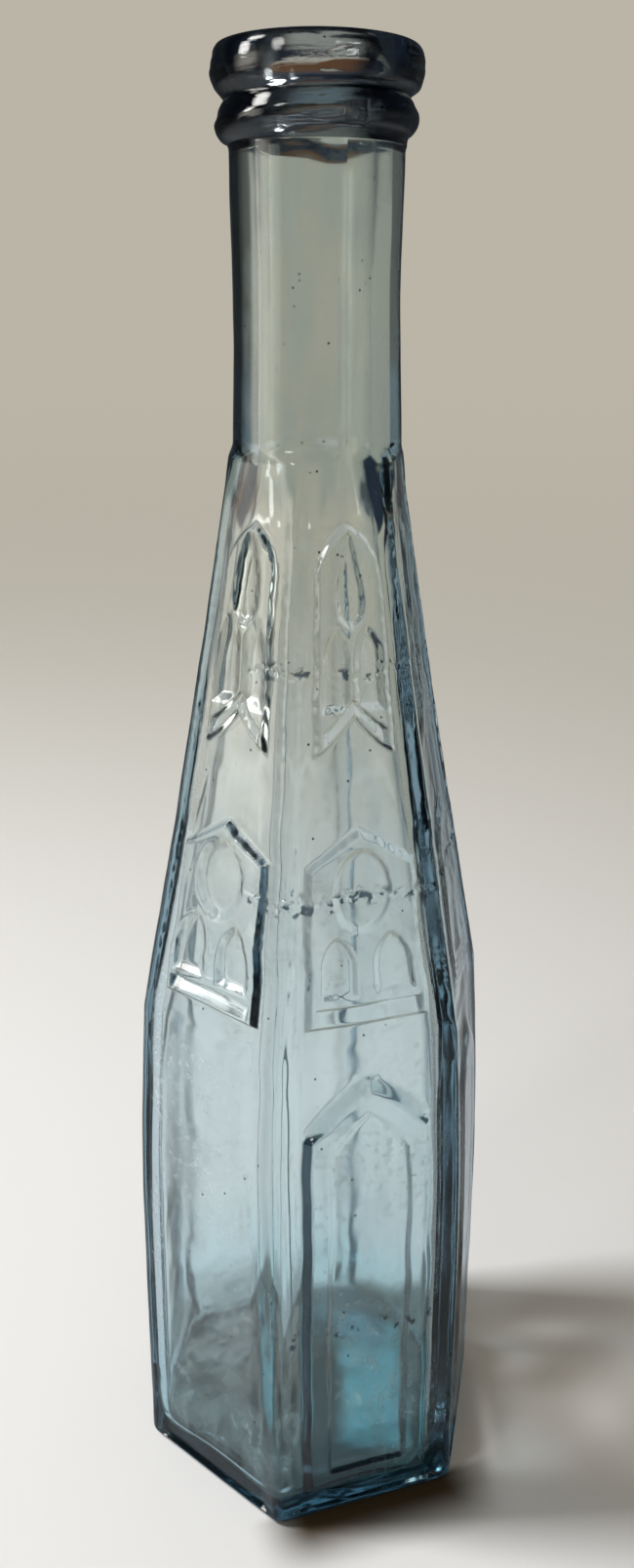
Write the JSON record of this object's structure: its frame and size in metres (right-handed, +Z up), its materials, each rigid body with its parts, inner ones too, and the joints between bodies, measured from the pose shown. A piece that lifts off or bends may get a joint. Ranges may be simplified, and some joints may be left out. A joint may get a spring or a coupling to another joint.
{
  "type": "pepper sauce bottle",
  "caption": "Tall empty six-sided glass bottle with gothic window relief on tapering faces, round neck and tooled double-ring lip.",
  "frame": {"origin": "on the table, at the middle of the base", "axes": "+Z up along the bottle's axis; the front door panel faces -Y"},
  "size_m": [0.0582, 0.0526, 0.222],
  "materials": {
    "body_glass": "pale aqua mould-blown glass, glossy and slightly wavy, with seeds and faint seams",
    "lip_glass": "pale aqua hand-tooled glass, glossy, darker where it is thick"
  },
  "bodies": {
    "root": {"bottle_body": "body_glass", "applied_lip": "lip_glass"}
  },
  "joints": []
}
